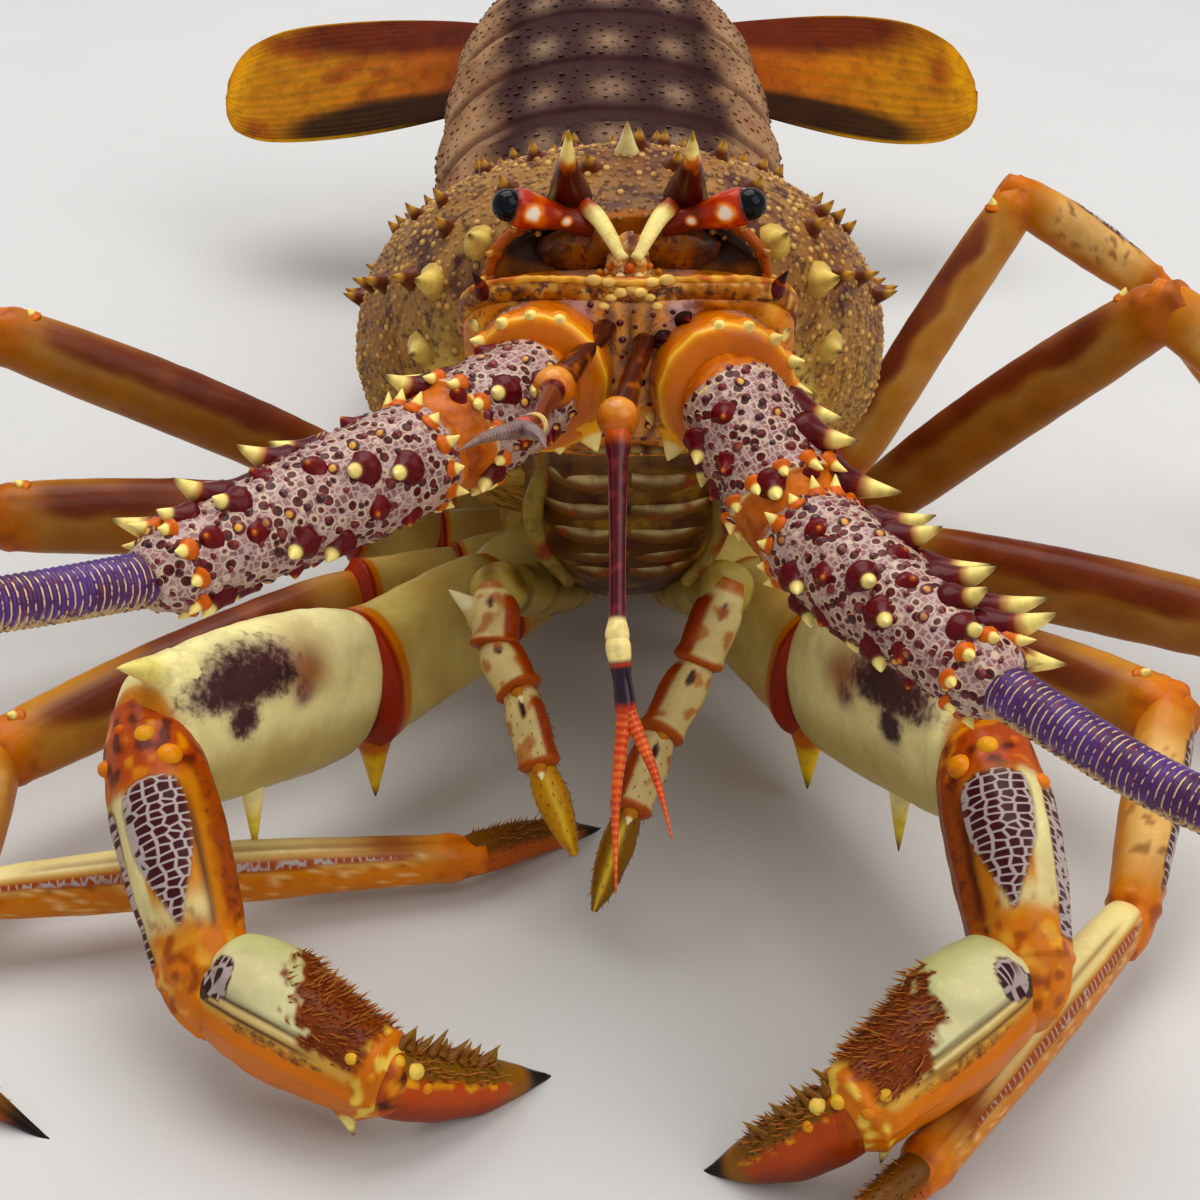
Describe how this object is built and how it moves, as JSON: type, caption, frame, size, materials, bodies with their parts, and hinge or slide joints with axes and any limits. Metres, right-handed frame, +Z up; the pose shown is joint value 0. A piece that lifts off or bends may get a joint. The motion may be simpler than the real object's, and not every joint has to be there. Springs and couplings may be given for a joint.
{
  "type": "spiny rock lobster",
  "caption": "Life-size rock lobster standing on its legs, with two stout spiny antennae swept out to the sides, horned head, rounded shell, ringed abdomen and a spread tail fan.",
  "frame": {"origin": "on the floor, under the middle of the whole animal's bounding box", "axes": "+Z up, the head faces -Y, the animal's left side is +X"},
  "size_m": [0.523, 0.3778, 0.1056],
  "materials": {
    "shell": "granular tan and brown shell with purple-brown blotches and pale yellow spine tips",
    "abdomen": "dark purple-brown back with pale median spots and grey-brown sides",
    "orange": "smooth semi-gloss caramel orange shell with yellow rims",
    "peduncle": "lilac-grey granular shell with maroon tubercles and pale yellow spines",
    "flagellum": "glossy purple rings with narrow cream joints",
    "leg": "cream shell with dark purple patches, orange joints and yellow spines",
    "fan": "orange and golden-yellow tail fan with dark bases",
    "eye": "glossy black",
    "mouthparts": "pale greenish cream with orange-brown patches and black marks"
  },
  "bodies": {
    "root": {"carapace": "shell", "head_plate": "orange", "mouth": "mouthparts", "sternum": "leg", "eye_stalk_left": "orange", "eye_left": "eye", "antenna_base_left": "orange", "antenna_fourth_left": "peduncle", "antenna_fifth_left": "peduncle", "flagellum_left_1": "flagellum", "flagellum_left_2": "flagellum", "flagellum_left_3": "flagellum", "antennule_left": "orange", "maxilliped_left": "mouthparts", "eye_stalk_right": "orange", "eye_right": "eye", "antenna_base_right": "orange", "antenna_fourth_right": "peduncle", "antenna_fifth_right": "peduncle", "flagellum_right_1": "flagellum", "flagellum_right_2": "flagellum", "flagellum_right_3": "flagellum", "antennule_right": "orange", "maxilliped_right": "mouthparts", "abdomen_1": "abdomen", "abdomen_2": "abdomen", "abdomen_3": "abdomen", "abdomen_4": "abdomen", "abdomen_5": "abdomen", "abdomen_6": "abdomen", "telson": "fan", "uropod_inner_left": "fan", "uropod_outer_left": "fan", "uropod_inner_right": "fan", "uropod_outer_right": "fan", "leg1_upper_left": "leg", "leg1_carpus_left": "leg", "leg1_propodus_left": "leg", "leg1_dactyl_left": "leg", "leg2_upper_left": "leg", "leg2_lower_left": "leg", "leg3_upper_left": "leg", "leg3_lower_left": "leg", "leg4_upper_left": "leg", "leg4_lower_left": "leg", "leg5_upper_left": "leg", "leg5_lower_left": "leg", "leg1_upper_right": "leg", "leg1_carpus_right": "leg", "leg1_propodus_right": "leg", "leg1_dactyl_right": "leg", "leg2_upper_right": "leg", "leg2_lower_right": "leg", "leg3_upper_right": "leg", "leg3_lower_right": "leg", "leg4_upper_right": "leg", "leg4_lower_right": "leg", "leg5_upper_right": "leg", "leg5_lower_right": "leg"}
  },
  "joints": []
}
